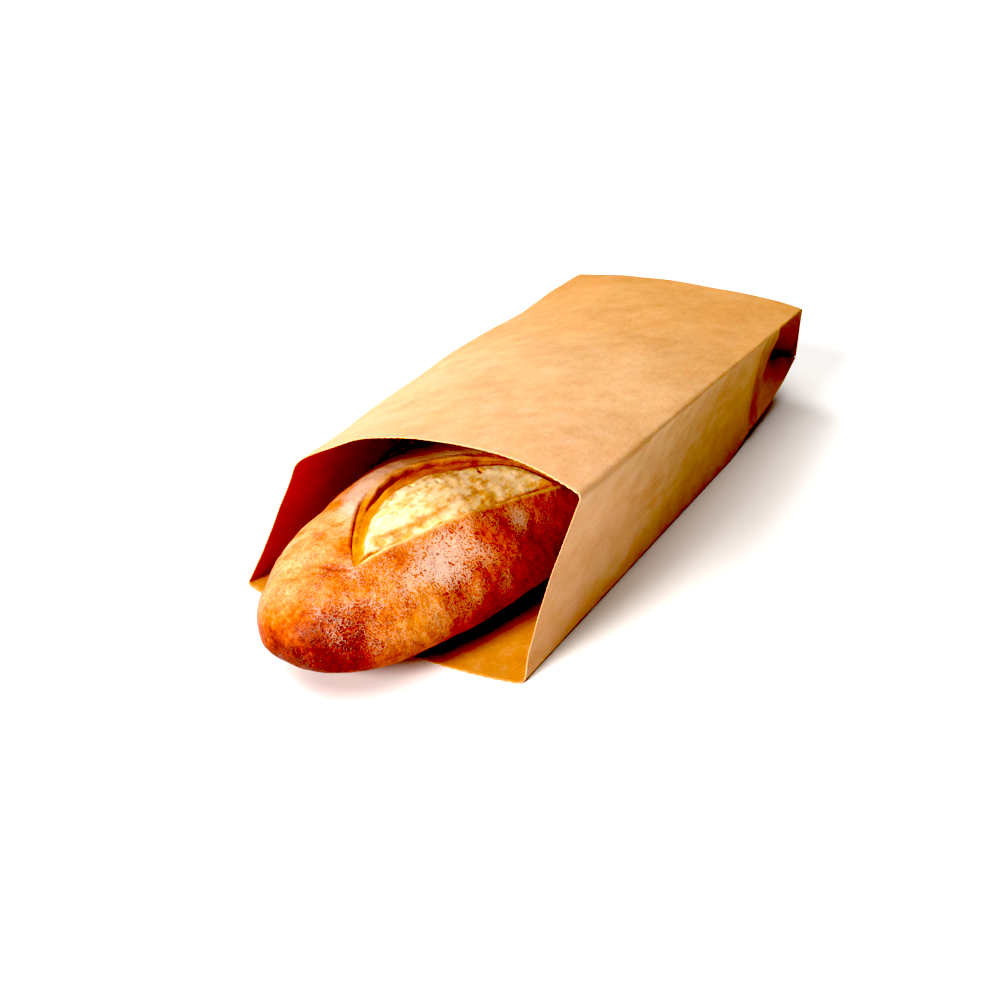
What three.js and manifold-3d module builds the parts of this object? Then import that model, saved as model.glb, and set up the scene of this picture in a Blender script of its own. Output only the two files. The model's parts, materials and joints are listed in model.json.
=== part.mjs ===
// A short, broad crusty loaf lying in a gusseted kraft paper bag, its front end standing out of the mouth.
// Millimetres, +Z up. +Y runs from the mouth to the folded and glued rear end, and +X is to its right.
// The numbers below are measured from the middle of the mouth's bottom edge; the finished group is then
// shifted so that its origin is the middle of the underside of the whole part's box.
import * as THREE from "three";
import Module from "manifold-3d";
import { mergeVertices } from "three/addons/utils/BufferGeometryUtils.js";

const PAPER = 0.8; // thickness given to the paper, which is really about 0.1 mm
const BAG_WIDTH = 140; // front and back panels, flat
const GUSSET = 84; // each side panel, unfolded
const FOLD_DEPTH = GUSSET / 2; // how far a side panel folds in where the bag is pressed flat
const FLAP = 25; // the glued strip folded up against the rear end

// Corners of the bag's section, as [x, y, z]; the left side mirrors x unless it has a corner of its own.
const MOUTH = { topRight: [86, 15, 83], topLeft: [-50, 63], foot: 71, arch: 16.5, lip: 9 };
const RIDGE = { topRight: [71.5, 320.6, 57], topLeft: [-74, 51.5], arch: 5.6 };
const SIDE_BOW = { right: 3.4, left: 0 }; // how far the middle of a side panel stands in at the mouth
const SEAM = { halfWidth: BAG_WIDTH / 2, y: 324, z: 26 };
const LIFT_Y = 258; // the bottom panel leaves the table here and rises to the seam
// The sides begin to fold in at this share of the bag's length. The inner fold then runs slanting down to
// the seam, never above this share of the side's height.
const PLEAT = { at: 0.778, depth: 4, highest: 0.75 };
const HOLLOW_HEIGHT = FOLD_DEPTH / 2; // the bag is solid where its sections are lower than this

const LOAF = {
  length: 305,
  width: 107.5,
  height: 55.4,
  widestAt: 0.41, // share of the height at which the loaf is widest
  planPower: 2.36, // how blunt the ends are in plan
  planRoot: 1 / 2.37,
  heightPower: 0.8, // how much more slowly the height falls towards the ends than the width
  roundness: 0.92, // power of the section's ellipse
  tip: [-3.2, -57.7], // the front tip's x and y
  yaw: THREE.MathUtils.degToRad(2.5), // turned clockwise as seen from above
  gap: 0.3, // between the crust and the paper under it
};

// Each cut in the crust opens from a straight edge on the right, and starts at x, y on the loaf's own axes.
const SCORE = {
  length: 115,
  width: 50,
  heading: THREE.MathUtils.degToRad(16.9),
  depth: 2.2,
  fullness: 0.85, // power of the sine that gives the opening's outline
};
const SCORE_STARTS = [
  [8.6, 33.7],
  [-4, 141],
];

const wasm = await Module();
wasm.setup();

function solidOf(geometry) {
  const bare = geometry.clone();
  bare.deleteAttribute("normal");
  bare.deleteAttribute("uv");
  const merged = mergeVertices(bare, 1e-4);
  const vertProperties = merged.attributes.position.array;
  const triVerts = new Uint32Array(merged.index.array);
  return new wasm.Manifold(new wasm.Mesh({ numProp: 3, vertProperties, triVerts }));
}

function geometryOf(solid) {
  const mesh = solid.getMesh();
  const geometry = new THREE.BufferGeometry();
  geometry.setAttribute("position", new THREE.BufferAttribute(mesh.vertProperties, 3));
  geometry.setIndex(new THREE.BufferAttribute(mesh.triVerts, 1));
  return geometry;
}

function indexedGeometry(points, faces) {
  const geometry = new THREE.BufferGeometry().setFromPoints(points);
  geometry.setIndex(faces.flat());
  return geometry;
}

// The upper and lower edges of the side panel, seen from the side as (y, z). Their lengths are nearly alike,
// because both are edges of one strip of paper.
function sideEdges() {
  const [, mouthY, mouthZ] = MOUTH.topRight;
  const [, ridgeY, ridgeZ] = RIDGE.topRight;
  const upper = new THREE.Path().moveTo(mouthY, mouthZ).lineTo(ridgeY, ridgeZ);
  upper.lineTo(SEAM.y, SEAM.z + PAPER);
  const lower = new THREE.Path().moveTo(0, 0).lineTo(LIFT_Y, 0).lineTo(SEAM.y, SEAM.z - PAPER);
  return { upper, lower };
}

// The shares of the bag's length where a section is taken, with one at each bend of the two edges.
function stationShares({ upper, lower }) {
  const ridge = upper.getCurveLengths()[0] / upper.getLength();
  const lift = lower.getCurveLengths()[0] / lower.getLength();
  const spans = [
    [0, PLEAT.at, 12],
    [PLEAT.at, lift, 1],
    [lift, ridge, 5],
    [ridge, 1, 5],
  ];
  const shares = spans.flatMap(([from, to, steps]) =>
    Array.from({ length: steps }, (_, i) => THREE.MathUtils.lerp(from, to, i / steps)),
  );
  return { shares: [...shares, 1], ridge };
}

// How far the inner fold of a side panel stands in from the line between the panel's two edges.
function foldDepth(share, bow) {
  if (share < PLEAT.at) return THREE.MathUtils.lerp(bow, PLEAT.depth, (share / PLEAT.at) ** 2);
  const past = (share - PLEAT.at) / (1 - PLEAT.at);
  return THREE.MathUtils.lerp(PLEAT.depth, FOLD_DEPTH, Math.sin((past * Math.PI) / 2));
}

// The share of the panel's height at which the inner fold stands: halfway up to the pleats, and from there
// where the section crosses the line from the pleats' top to the seam.
function foldLevel(share, upper, foot, rise) {
  if (share < PLEAT.at) return 0.5;
  const start = upper.getPointAt(PLEAT.at);
  const run = new THREE.Vector2(SEAM.y, SEAM.z).sub(start);
  return Math.min(start.sub(foot).cross(run) / rise.cross(run), PLEAT.highest);
}

// One section of the bag: a plane through X and the line from the lower edge to the upper edge.
function sectionAt(share, edges, ridgeShare) {
  const top = edges.upper.getPointAt(share);
  const foot = edges.lower.getPointAt(share);
  const rise = top.clone().sub(foot);
  const height = rise.length();
  const toRidge = Math.min(share / ridgeShare, 1);
  const toSeam = Math.max((share - ridgeShare) / (1 - ridgeShare), 0);
  const blend = (mouth, ridge, seam) =>
    THREE.MathUtils.lerp(THREE.MathUtils.lerp(mouth, ridge, toRidge), seam, toSeam);
  const leftShare = blend(MOUTH.topLeft[1] / MOUTH.topRight[2], RIDGE.topLeft[1] / RIDGE.topRight[2], 1);
  const footX = blend(MOUTH.foot, SEAM.halfWidth, SEAM.halfWidth);
  const corners = {
    topRight: new THREE.Vector2(blend(MOUTH.topRight[0], RIDGE.topRight[0], SEAM.halfWidth), height),
    topLeft: new THREE.Vector2(blend(MOUTH.topLeft[0], RIDGE.topLeft[0], -SEAM.halfWidth), 0),
    footLeft: new THREE.Vector2(-footX, 0),
    footRight: new THREE.Vector2(footX, 0),
  };
  corners.topLeft.y = height * leftShare;
  const level = foldLevel(share, edges.upper, foot, rise);
  const foldBetween = (low, high, inward) => low.clone().lerp(high, level).add(new THREE.Vector2(inward, 0));
  corners.foldRight = foldBetween(corners.footRight, corners.topRight, -foldDepth(share, SIDE_BOW.right));
  corners.foldLeft = foldBetween(corners.footLeft, corners.topLeft, foldDepth(share, SIDE_BOW.left));
  return { foot, up: rise.normalize(), height, corners, arch: blend(MOUTH.arch, RIDGE.arch, 0), share };
}

const CORNER_ORDER = ["footLeft", "footRight", "foldRight", "topRight", "topLeft", "foldLeft"];
const SIDE_STEPS = [10, 3, 3, 14, 3, 3]; // points along the stretch that starts at each of those corners

// The same corners moved in by the paper's thickness, each along the bisector of its two sides.
function insetCorners(corners) {
  const loop = CORNER_ORDER.map((name) => corners[name]);
  const inset = {};
  loop.forEach((corner, i) => {
    const before = corner.clone().sub(loop.at(i - 1)).normalize();
    const after = loop[(i + 1) % loop.length].clone().sub(corner).normalize();
    const inward = new THREE.Vector2(-before.y - after.y, before.x + after.x);
    inset[CORNER_ORDER[i]] = corner.clone().addScaledVector(inward, PAPER / (1 + before.dot(after)));
  });
  return inset;
}

// The section's ring of points in space, anticlockwise as seen from the mouth.
function ringOf(section, corners) {
  const lipFade = Math.max(1 - section.share * 8, 0) ** 2;
  const ring = [];
  CORNER_ORDER.forEach((name, side) => {
    const from = corners[name];
    const to = corners[CORNER_ORDER[(side + 1) % CORNER_ORDER.length]];
    for (let step = 0; step < SIDE_STEPS[side]; step += 1) {
      const t = step / SIDE_STEPS[side];
      const point = from.clone().lerp(to, t);
      const swell = 4 * t * (1 - t);
      if (name === "topRight") point.y += section.arch * swell;
      const lip = name === "footLeft" ? MOUTH.lip * swell * lipFade : 0;
      const { foot, up } = section;
      ring.push(new THREE.Vector3(point.x, foot.x + up.x * point.y - lip, foot.y + up.y * point.y));
    }
  });
  return ring;
}

// Triangles over a closed section, facing the mouth.
function capFaces(corners, first) {
  const outline = [];
  CORNER_ORDER.forEach((name, side) => {
    const to = corners[CORNER_ORDER[(side + 1) % CORNER_ORDER.length]];
    for (let step = 0; step < SIDE_STEPS[side]; step += 1)
      outline.push(corners[name].clone().lerp(to, step / SIDE_STEPS[side]));
  });
  return THREE.ShapeUtils.triangulateShape(outline, []).map((face) => face.map((i) => i + first));
}

function bagShell() {
  const edges = sideEdges();
  const { shares, ridge } = stationShares(edges);
  const sections = shares.map((share) => sectionAt(share, edges, ridge));
  const hollow = sections.filter((section) => section.height > HOLLOW_HEIGHT);
  const outer = sections.map((section) => ringOf(section, section.corners));
  const inner = hollow.map((section) => ringOf(section, insetCorners(section.corners)));
  const count = outer[0].length;
  const innerStart = outer.length * count;
  const faces = [];
  const addBand = (a, b) => {
    for (let i = 0; i < count; i += 1) {
      const next = (i + 1) % count;
      faces.push([a + i, b + i, b + next], [a + i, b + next, a + next]);
    }
  };
  for (let row = 1; row < outer.length; row += 1) addBand((row - 1) * count, row * count);
  for (let row = 1; row < inner.length; row += 1)
    addBand(innerStart + row * count, innerStart + (row - 1) * count);
  addBand(innerStart, 0);
  const rear = capFaces(sections.at(-1).corners, (outer.length - 1) * count);
  faces.push(...rear.map(([a, b, c]) => [a, c, b]));
  faces.push(...capFaces(insetCorners(hollow.at(-1).corners), innerStart + (inner.length - 1) * count));
  return indexedGeometry([...outer, ...inner].flat(), faces);
}

// The glued strip: all layers of the rear end turned up and pressed flat against it.
function flapGeometry() {
  const [, ridgeY, ridgeZ] = RIDGE.topRight;
  const lean = Math.atan2(SEAM.y - ridgeY, ridgeZ - SEAM.z);
  const strip = new THREE.BoxGeometry(BAG_WIDTH - 1, 2 * PAPER, FLAP);
  strip.translate(0, PAPER / 2, FLAP / 2);
  strip.rotateX(lean);
  strip.translate(0, SEAM.y, SEAM.z - PAPER / 2);
  return strip;
}

function makeBag() {
  const joined = solidOf(bagShell()).add(solidOf(flapGeometry()));
  const kraft = new THREE.MeshStandardMaterial({ color: 0xc9955c, roughness: 0.8, metalness: 0 });
  const bag = new THREE.Mesh(geometryOf(joined), kraft);
  bag.name = "paper_bag";
  return bag;
}

// How far the opened cuts lie below the crust at a place in plan on the loaf's own axes.
function scoreDip(x, y) {
  for (const [startX, startY] of SCORE_STARTS) {
    const dx = x - startX;
    const dy = y - startY;
    const along = (dx * Math.sin(SCORE.heading) + dy * Math.cos(SCORE.heading)) / SCORE.length;
    if (along <= 0 || along >= 1) continue;
    const width = SCORE.width * Math.sin(Math.PI * along) ** SCORE.fullness;
    const across = (dy * Math.sin(SCORE.heading) - dx * Math.cos(SCORE.heading)) / width;
    if (across > 0 && across < 1) return SCORE.depth * Math.sqrt(Math.sin(Math.PI * across));
  }
  return 0;
}

// A point of the crust: share 0 to 1 from tip to tip, angle round the loaf from its right side upwards.
function crustPoint(share, angle) {
  const girth = (1 - Math.abs(2 * share - 1) ** LOAF.planPower) ** LOAF.planRoot;
  const swell = (value) => Math.sign(value) * Math.abs(value) ** LOAF.roundness;
  const middle = LOAF.height * LOAF.widestAt;
  const x = (LOAF.width / 2) * girth * swell(Math.cos(angle));
  const y = share * LOAF.length;
  const reach = Math.sin(angle) > 0 ? LOAF.height - middle : middle;
  const z = middle + reach * girth ** LOAF.heightPower * swell(Math.sin(angle));
  return new THREE.Vector3(x, y, Math.sin(angle) > 0 ? z - scoreDip(x, y) : z);
}

function makeLoaf() {
  const rows = 46;
  const around = 52;
  const points = [];
  for (let row = 1; row < rows; row += 1) {
    const share = (1 - Math.cos((Math.PI * row) / rows)) / 2;
    for (let i = 0; i < around; i += 1) points.push(crustPoint(share, (2 * Math.PI * i) / around));
  }
  const frontTip = points.push(crustPoint(0, 0)) - 1;
  const rearTip = points.push(crustPoint(1, 0)) - 1;
  const lastRow = (rows - 2) * around;
  const faces = [];
  for (let i = 0; i < around; i += 1) {
    const next = (i + 1) % around;
    for (let start = 0; start < lastRow; start += around) {
      const [a, b, c, d] = [start + i, start + next, start + around + next, start + around + i];
      faces.push([a, c, b], [a, d, c]);
    }
    faces.push([frontTip, i, next], [rearTip, lastRow + next, lastRow + i]);
  }
  const crust = new THREE.MeshStandardMaterial({ color: 0xc87a2c, roughness: 0.75, metalness: 0 });
  const loaf = new THREE.Mesh(indexedGeometry(points, faces), crust);
  loaf.name = "loaf";
  loaf.rotation.z = -LOAF.yaw;
  loaf.position.set(LOAF.tip[0], LOAF.tip[1], PAPER + LOAF.gap);
  return loaf;
}

const part = new THREE.Group();
part.add(makeBag(), makeLoaf());
const box = new THREE.Box3().setFromObject(part, true);
const middle = box.getCenter(new THREE.Vector3());
part.position.set(-middle.x, -middle.y, -box.min.z);

export default part;
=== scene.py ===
"""A short, broad crusty loaf lying in a gusseted kraft paper bag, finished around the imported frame.

The frame's two solids give way to finished pieces in the same place: the loaf with its opened cuts, and the
folded bag with the glued strip at its rear end. Lengths inside the classes are in millimetres, on axes that
start at the middle of the mouth's bottom edge, with +X to the right, +Y towards the rear end and +Z up.
Workbench turns them into the frame's metres.
"""

import json
import logging
import math
from collections.abc import Callable
from dataclasses import dataclass
from enum import Enum

import bpy
import numpy as np
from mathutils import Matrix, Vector

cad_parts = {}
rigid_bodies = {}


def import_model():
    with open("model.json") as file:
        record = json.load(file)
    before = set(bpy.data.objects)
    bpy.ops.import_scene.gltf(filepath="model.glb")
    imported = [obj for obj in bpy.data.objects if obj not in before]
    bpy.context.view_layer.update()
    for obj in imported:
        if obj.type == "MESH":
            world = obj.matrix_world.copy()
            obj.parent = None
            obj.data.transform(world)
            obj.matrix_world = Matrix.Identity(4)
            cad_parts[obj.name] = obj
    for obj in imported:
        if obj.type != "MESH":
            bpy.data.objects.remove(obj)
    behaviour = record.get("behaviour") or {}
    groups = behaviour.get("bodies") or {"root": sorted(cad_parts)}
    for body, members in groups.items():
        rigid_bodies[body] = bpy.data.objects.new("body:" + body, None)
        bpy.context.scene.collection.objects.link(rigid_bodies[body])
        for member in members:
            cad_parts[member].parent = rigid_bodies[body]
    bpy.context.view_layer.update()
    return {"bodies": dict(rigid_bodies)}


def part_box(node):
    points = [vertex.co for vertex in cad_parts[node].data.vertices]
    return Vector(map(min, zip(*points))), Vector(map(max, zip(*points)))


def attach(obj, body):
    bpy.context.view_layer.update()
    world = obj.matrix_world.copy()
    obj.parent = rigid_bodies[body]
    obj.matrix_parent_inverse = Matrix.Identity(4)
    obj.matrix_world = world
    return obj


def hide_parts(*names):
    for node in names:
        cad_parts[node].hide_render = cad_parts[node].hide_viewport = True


LOG = logging.getLogger("loaf_in_bag")
MM = 0.001
FULL_TURN = 2 * math.pi
REAR_SHADE = "rear_shade"  # painted shade on the paper: 0 at the mouth, rising to 1 at the rear end, where it is darkest

Array = np.ndarray
Pair = tuple[float, float]
Triple = tuple[float, float, float]
Colour = tuple[float, float, float, float]
Socket = bpy.types.NodeSocket
Material = bpy.types.Material
Stops = tuple[tuple[float, str], ...]


# ---------------------------------------------------------------- shapes worked out as whole arrays


def smoothstep(low: float | Array, high: float | Array, value: Array) -> Array:
    """Rises smoothly from 0 at low to 1 at high: t squared times (3 - 2t)."""
    share = np.clip((value - low) / (high - low), 0.0, 1.0)
    return share * share * (3.0 - 2.0 * share)


def hump(centre: float | Array, reach: float | Array, value: Array) -> Array:
    """A bell of height 1 around centre: e to the minus squared distance over reach."""
    return np.exp(-(((value - centre) / reach) ** 2))


def ripple(points: Array, wavelength: float, seed: int, stretch: Triple = (1.0, 1.0, 1.0)) -> Array:
    """A smooth random field over space, with mean 0 and a standard deviation of about 1.

    It is a sum of cosines whose wave vectors point every way and whose lengths spread around one wavelength.

    Args:
        points: Places, as an array whose last axis holds x, y and z.
        wavelength: The middle wavelength, in the units of the points.
        seed: Seed of the draw, so that each run gives the same field.
        stretch: How much longer the waves are along x, y and z.

    Returns:
        The field's value at each place.
    """
    waves = 20
    draw = np.random.default_rng(seed)
    directions = draw.normal(size=(waves, 3))
    directions /= np.linalg.norm(directions, axis=1, keepdims=True)
    lengths = wavelength * draw.uniform(0.7, 1.5, waves)
    vectors = directions * (FULL_TURN / lengths)[:, None] / np.array(stretch)
    phases = draw.uniform(0.0, FULL_TURN, waves)
    return np.cos(points @ vectors.T + phases).sum(-1) * math.sqrt(2.0 / waves)


@dataclass(frozen=True)
class Wave:
    """One layer of unevenness."""

    height: float  # its standard deviation
    length: float  # its middle wavelength, in millimetres
    seed: int
    stretch: Triple = (1.0, 1.0, 1.0)


def uneven(points: Array, *waves: Wave) -> Array:
    """The sum of the waves at each place."""
    return sum(wave.height * ripple(points, wave.length, wave.seed, wave.stretch) for wave in waves)


@dataclass(frozen=True)
class Spot:
    """A round spot on the crust, strongest in its middle."""

    middle: Triple
    reach: float
    strength: float

    def on(self, points: Array) -> Array:
        """The spot's strength times a bell around its middle, at each place."""
        return self.strength * hump(0.0, self.reach, np.linalg.norm(points - np.array(self.middle), axis=-1))


def graded(length: float, spacing: Callable[[Array], Array], count: int) -> Array:
    """Places from 0 to length whose gaps follow a wanted spacing.

    Equal steps of the running integral of 1 / spacing give gaps in proportion to the spacing.

    Args:
        length: Where the last place is.
        spacing: Gives the wanted gap at each place.
        count: How many places.

    Returns:
        The places, in order, with both ends among them.
    """
    fine = np.linspace(0.0, length, 6001)
    density = 1.0 / spacing(fine)
    steps = (density[1:] + density[:-1]) / 2 * np.diff(fine)
    total = np.concatenate([[0.0], np.cumsum(steps)])
    return np.interp(np.linspace(0.0, total[-1], count), total, fine)


def bent(place: Array, knots: list[Array], values: list[Array]) -> Array:
    """A line with corners, whose corners differ from row to row: the sum of each stretch's clipped share.

    Args:
        place: Where to read the line, with one row a section.
        knots: The corners' places, in order, as one number a section each.
        values: The line's value at each corner, as one number a section each.

    Returns:
        The value at each place.
    """
    total = np.zeros(np.broadcast_shapes(place.shape, values[0][:, None].shape)) + values[0][:, None]
    for i in range(len(knots) - 1):
        width = np.maximum(knots[i + 1] - knots[i], 1e-6)[:, None]
        share = np.clip((place - knots[i][:, None]) / width, 0.0, 1.0)
        total = total + share * (values[i + 1] - values[i])[:, None]
    return total


def tube_normals(points: Array) -> Array:
    """Unit normals of a grid of closed rings: the step along the rows crossed with the step around."""
    around = np.roll(points, -1, axis=1) - np.roll(points, 1, axis=1)
    along = np.gradient(points, axis=0)
    normals = np.cross(along, around)
    return normals / np.maximum(np.linalg.norm(normals, axis=-1, keepdims=True), 1e-9)


def soften(points: Array, weight: Array, rounds: int) -> Array:
    """Rounds a grid of closed rings off: each round moves a point towards the middle of its ring neighbours.

    Args:
        points: Rows of closed rings, with x, y and z last.
        weight: How far each point goes each round, from 0 to 1, as one number a point.
        rounds: How many rounds.

    Returns:
        The rounded grid.
    """
    for _ in range(rounds):
        middle = (np.roll(points, 1, axis=1) + np.roll(points, -1, axis=1)) / 2
        points = points + weight[..., None] * (middle - points)
    return points


def tube_quads(rows: int, ring: int, first: int = 0, inside_out: bool = False) -> Array:
    """Four-cornered faces of a grid of closed rings, facing out.

    Args:
        rows: How many rings.
        ring: How many points a ring has.
        first: The first point's index.
        inside_out: True makes the faces look inwards.

    Returns:
        One row of four indices a face.
    """
    row, i = np.meshgrid(np.arange(rows - 1), np.arange(ring), indexing="ij")
    near = row * ring + i
    near_next = row * ring + (i + 1) % ring
    corners = [near, near + ring, near_next + ring, near_next]
    if inside_out:
        corners.reverse()
    return np.stack(corners, axis=-1).reshape(-1, 4) + first


def ring_band(outer: Array, inner: Array) -> Array:
    """Faces between two closed rings of indices that run the same way, from the outer to the inner."""
    return np.stack([outer, np.roll(outer, -1), np.roll(inner, -1), inner], axis=-1)


# ---------------------------------------------------------------- materials


def linear(hex_colour: str) -> Colour:
    """Turns an sRGB hex colour into the linear colour that a shader reads, with full alpha."""
    channels = [int(hex_colour[i : i + 2], 16) / 255 for i in (1, 3, 5)]
    toned = [c / 12.92 if c <= 0.04045 else ((c + 0.055) / 1.055) ** 2.4 for c in channels]
    return (*toned, 1.0)


def add_node(
    tree: bpy.types.NodeTree,
    kind: str,
    inputs: dict[str | int, object] | None = None,
    stops: list[tuple[float, str]] | None = None,
    **settings: object,
) -> bpy.types.Node:
    """Adds one node with its settings, values and links.

    Args:
        tree: The node tree that gets the node.
        kind: The node's type name.
        inputs: Input name or number to a value, or to the output socket that feeds it.
        stops: A colour ramp's places and hex colours.
        settings: The node's own attributes.

    Returns:
        The new node.
    """
    node = tree.nodes.new(kind)
    for name, value in settings.items():
        setattr(node, name, value)
    for key, value in (inputs or {}).items():
        if isinstance(value, bpy.types.NodeSocket):
            tree.links.new(value, node.inputs[key])
        else:
            node.inputs[key].default_value = value
    for index, (place, hex_colour) in enumerate(stops or []):
        elements = node.color_ramp.elements
        element = elements[index] if index < len(elements) else elements.new(place)
        element.position = place
        element.color = linear(hex_colour)
    return node


def new_material(name: str) -> tuple[Material, bpy.types.NodeTree]:
    """Makes a material of that name, and its node tree with nothing in it."""
    material = bpy.data.materials.new(name)
    material.use_nodes = True
    material.node_tree.nodes.clear()
    return material, material.node_tree


class Recipe:
    """A material while it is written: its nodes, and the noises, sums and blends that the finishes share."""

    def __init__(self, name: str, grit: float) -> None:
        """Starts a material that is drawn in millimetres on the object's own axes.

        Args:
            name: The material's name.
            grit: How rough its noises are, from 0 to 1.
        """
        self.material, self.tree = new_material(name)
        self.grit = grit
        place = add_node(self.tree, "ShaderNodeTexCoord").outputs["Object"]
        scaled = {"Vector": place, "Scale": (1 / MM,) * 3}
        self.in_mm = add_node(self.tree, "ShaderNodeMapping", scaled).outputs[0]

    def noise(self, size: float, detail: float, drawn: Triple = (1.0, 1.0, 1.0), turn: float = 0.0) -> Socket:
        """A noise with blotches of one size.

        Args:
            size: The blotches' size in millimetres.
            detail: How many finer noises lie on it.
            drawn: Less than 1 draws the blotches out along that axis.
            turn: The angle about the vertical by which they are turned first, in radians.

        Returns:
            The noise's value.
        """
        turned = {"Vector": self.in_mm, "Rotation": (0.0, 0.0, turn)}
        turned = add_node(self.tree, "ShaderNodeMapping", turned).outputs[0]
        stretched = add_node(self.tree, "ShaderNodeMapping", {"Vector": turned, "Scale": drawn}).outputs[0]
        inputs = {"Vector": stretched, "Scale": 1 / size, "Detail": detail, "Roughness": self.grit}
        return add_node(self.tree, "ShaderNodeTexNoise", inputs).outputs["Fac"]

    def layer(self, name: str) -> Socket:
        """The measure of that name kept with the mesh's points."""
        return add_node(self.tree, "ShaderNodeAttribute", attribute_name=name).outputs["Fac"]

    def maths(self, operation: str, *terms: Socket | float) -> Socket:
        """The result of one operation on the terms."""
        return add_node(self.tree, "ShaderNodeMath", dict(enumerate(terms)), operation=operation).outputs[0]

    def total(self, start: Socket | float, *parts: tuple[Socket, Socket | float]) -> Socket:
        """A start plus each part times its share."""
        for part, share in parts:
            start = self.maths("MULTIPLY_ADD", part, share, start)
        return start

    def ramp(self, value: Socket, stops: Stops) -> Socket:
        """The colour at that value between the stops."""
        return add_node(self.tree, "ShaderNodeValToRGB", {"Fac": value}, list(stops)).outputs["Color"]

    def step(self, value: Socket, low: Socket | float, high: Socket | float, most: float = 1.0) -> Socket:
        """Rises smoothly from 0 at low to most at high."""
        inputs = {"Value": value, "From Min": low, "From Max": high, "To Max": most}
        return add_node(self.tree, "ShaderNodeMapRange", inputs, interpolation_type="SMOOTHSTEP").outputs[0]

    def blend(self, share: Socket, first: Socket, second: Socket | Colour, way: str = "MIX") -> Socket:
        """The first colour where share is 0, and the second laid on it in that way where share is 1."""
        inputs = {0: share, 6: first, 7: second}
        return add_node(self.tree, "ShaderNodeMix", inputs, data_type="RGBA", blend_type=way).outputs[2]

    def finish(self, height: Socket, strength: float, depth: float, surface: dict[str, object]) -> Material:
        """Closes the material.

        Args:
            height: The fine relief.
            strength: The relief's strength, from 0 to 1.
            depth: The relief's depth in millimetres.
            surface: The shader's other inputs, by name.

        Returns:
            The finished material.
        """
        inputs = {"Height": height, "Strength": strength, "Distance": depth * MM}
        relief = add_node(self.tree, "ShaderNodeBump", inputs).outputs[0]
        shader = add_node(self.tree, "ShaderNodeBsdfPrincipled", {"Normal": relief} | surface)
        add_node(self.tree, "ShaderNodeOutputMaterial", {"Surface": shader.outputs[0]})
        return self.material


class Layer(Enum):
    """The measures of the crust that are kept with each point of the loaf, and that its finish reads."""

    BAKE = "bake"  # how dark the crust is, 0 to 1: baked darker near the sole and front end, with painted light making the top's left shoulder and the low right flank paler
    FLOUR = "flour"  # how thick the dusting lies
    CRUMB = "crumb"  # 1 on the torn, pale inside of a cut
    GOLDEN = "golden"  # 1 on the thin skin that formed on the walls of a cut
    CRACK = "crack"  # painted shade: 1 deep in cracks and nicks, in the groove beside a lip and on a cut's thin far edge line
    EDGE = "edge"  # 1 on the thin lip of the crust beside a cut; its weaker share on the ear is a painted highlight


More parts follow.
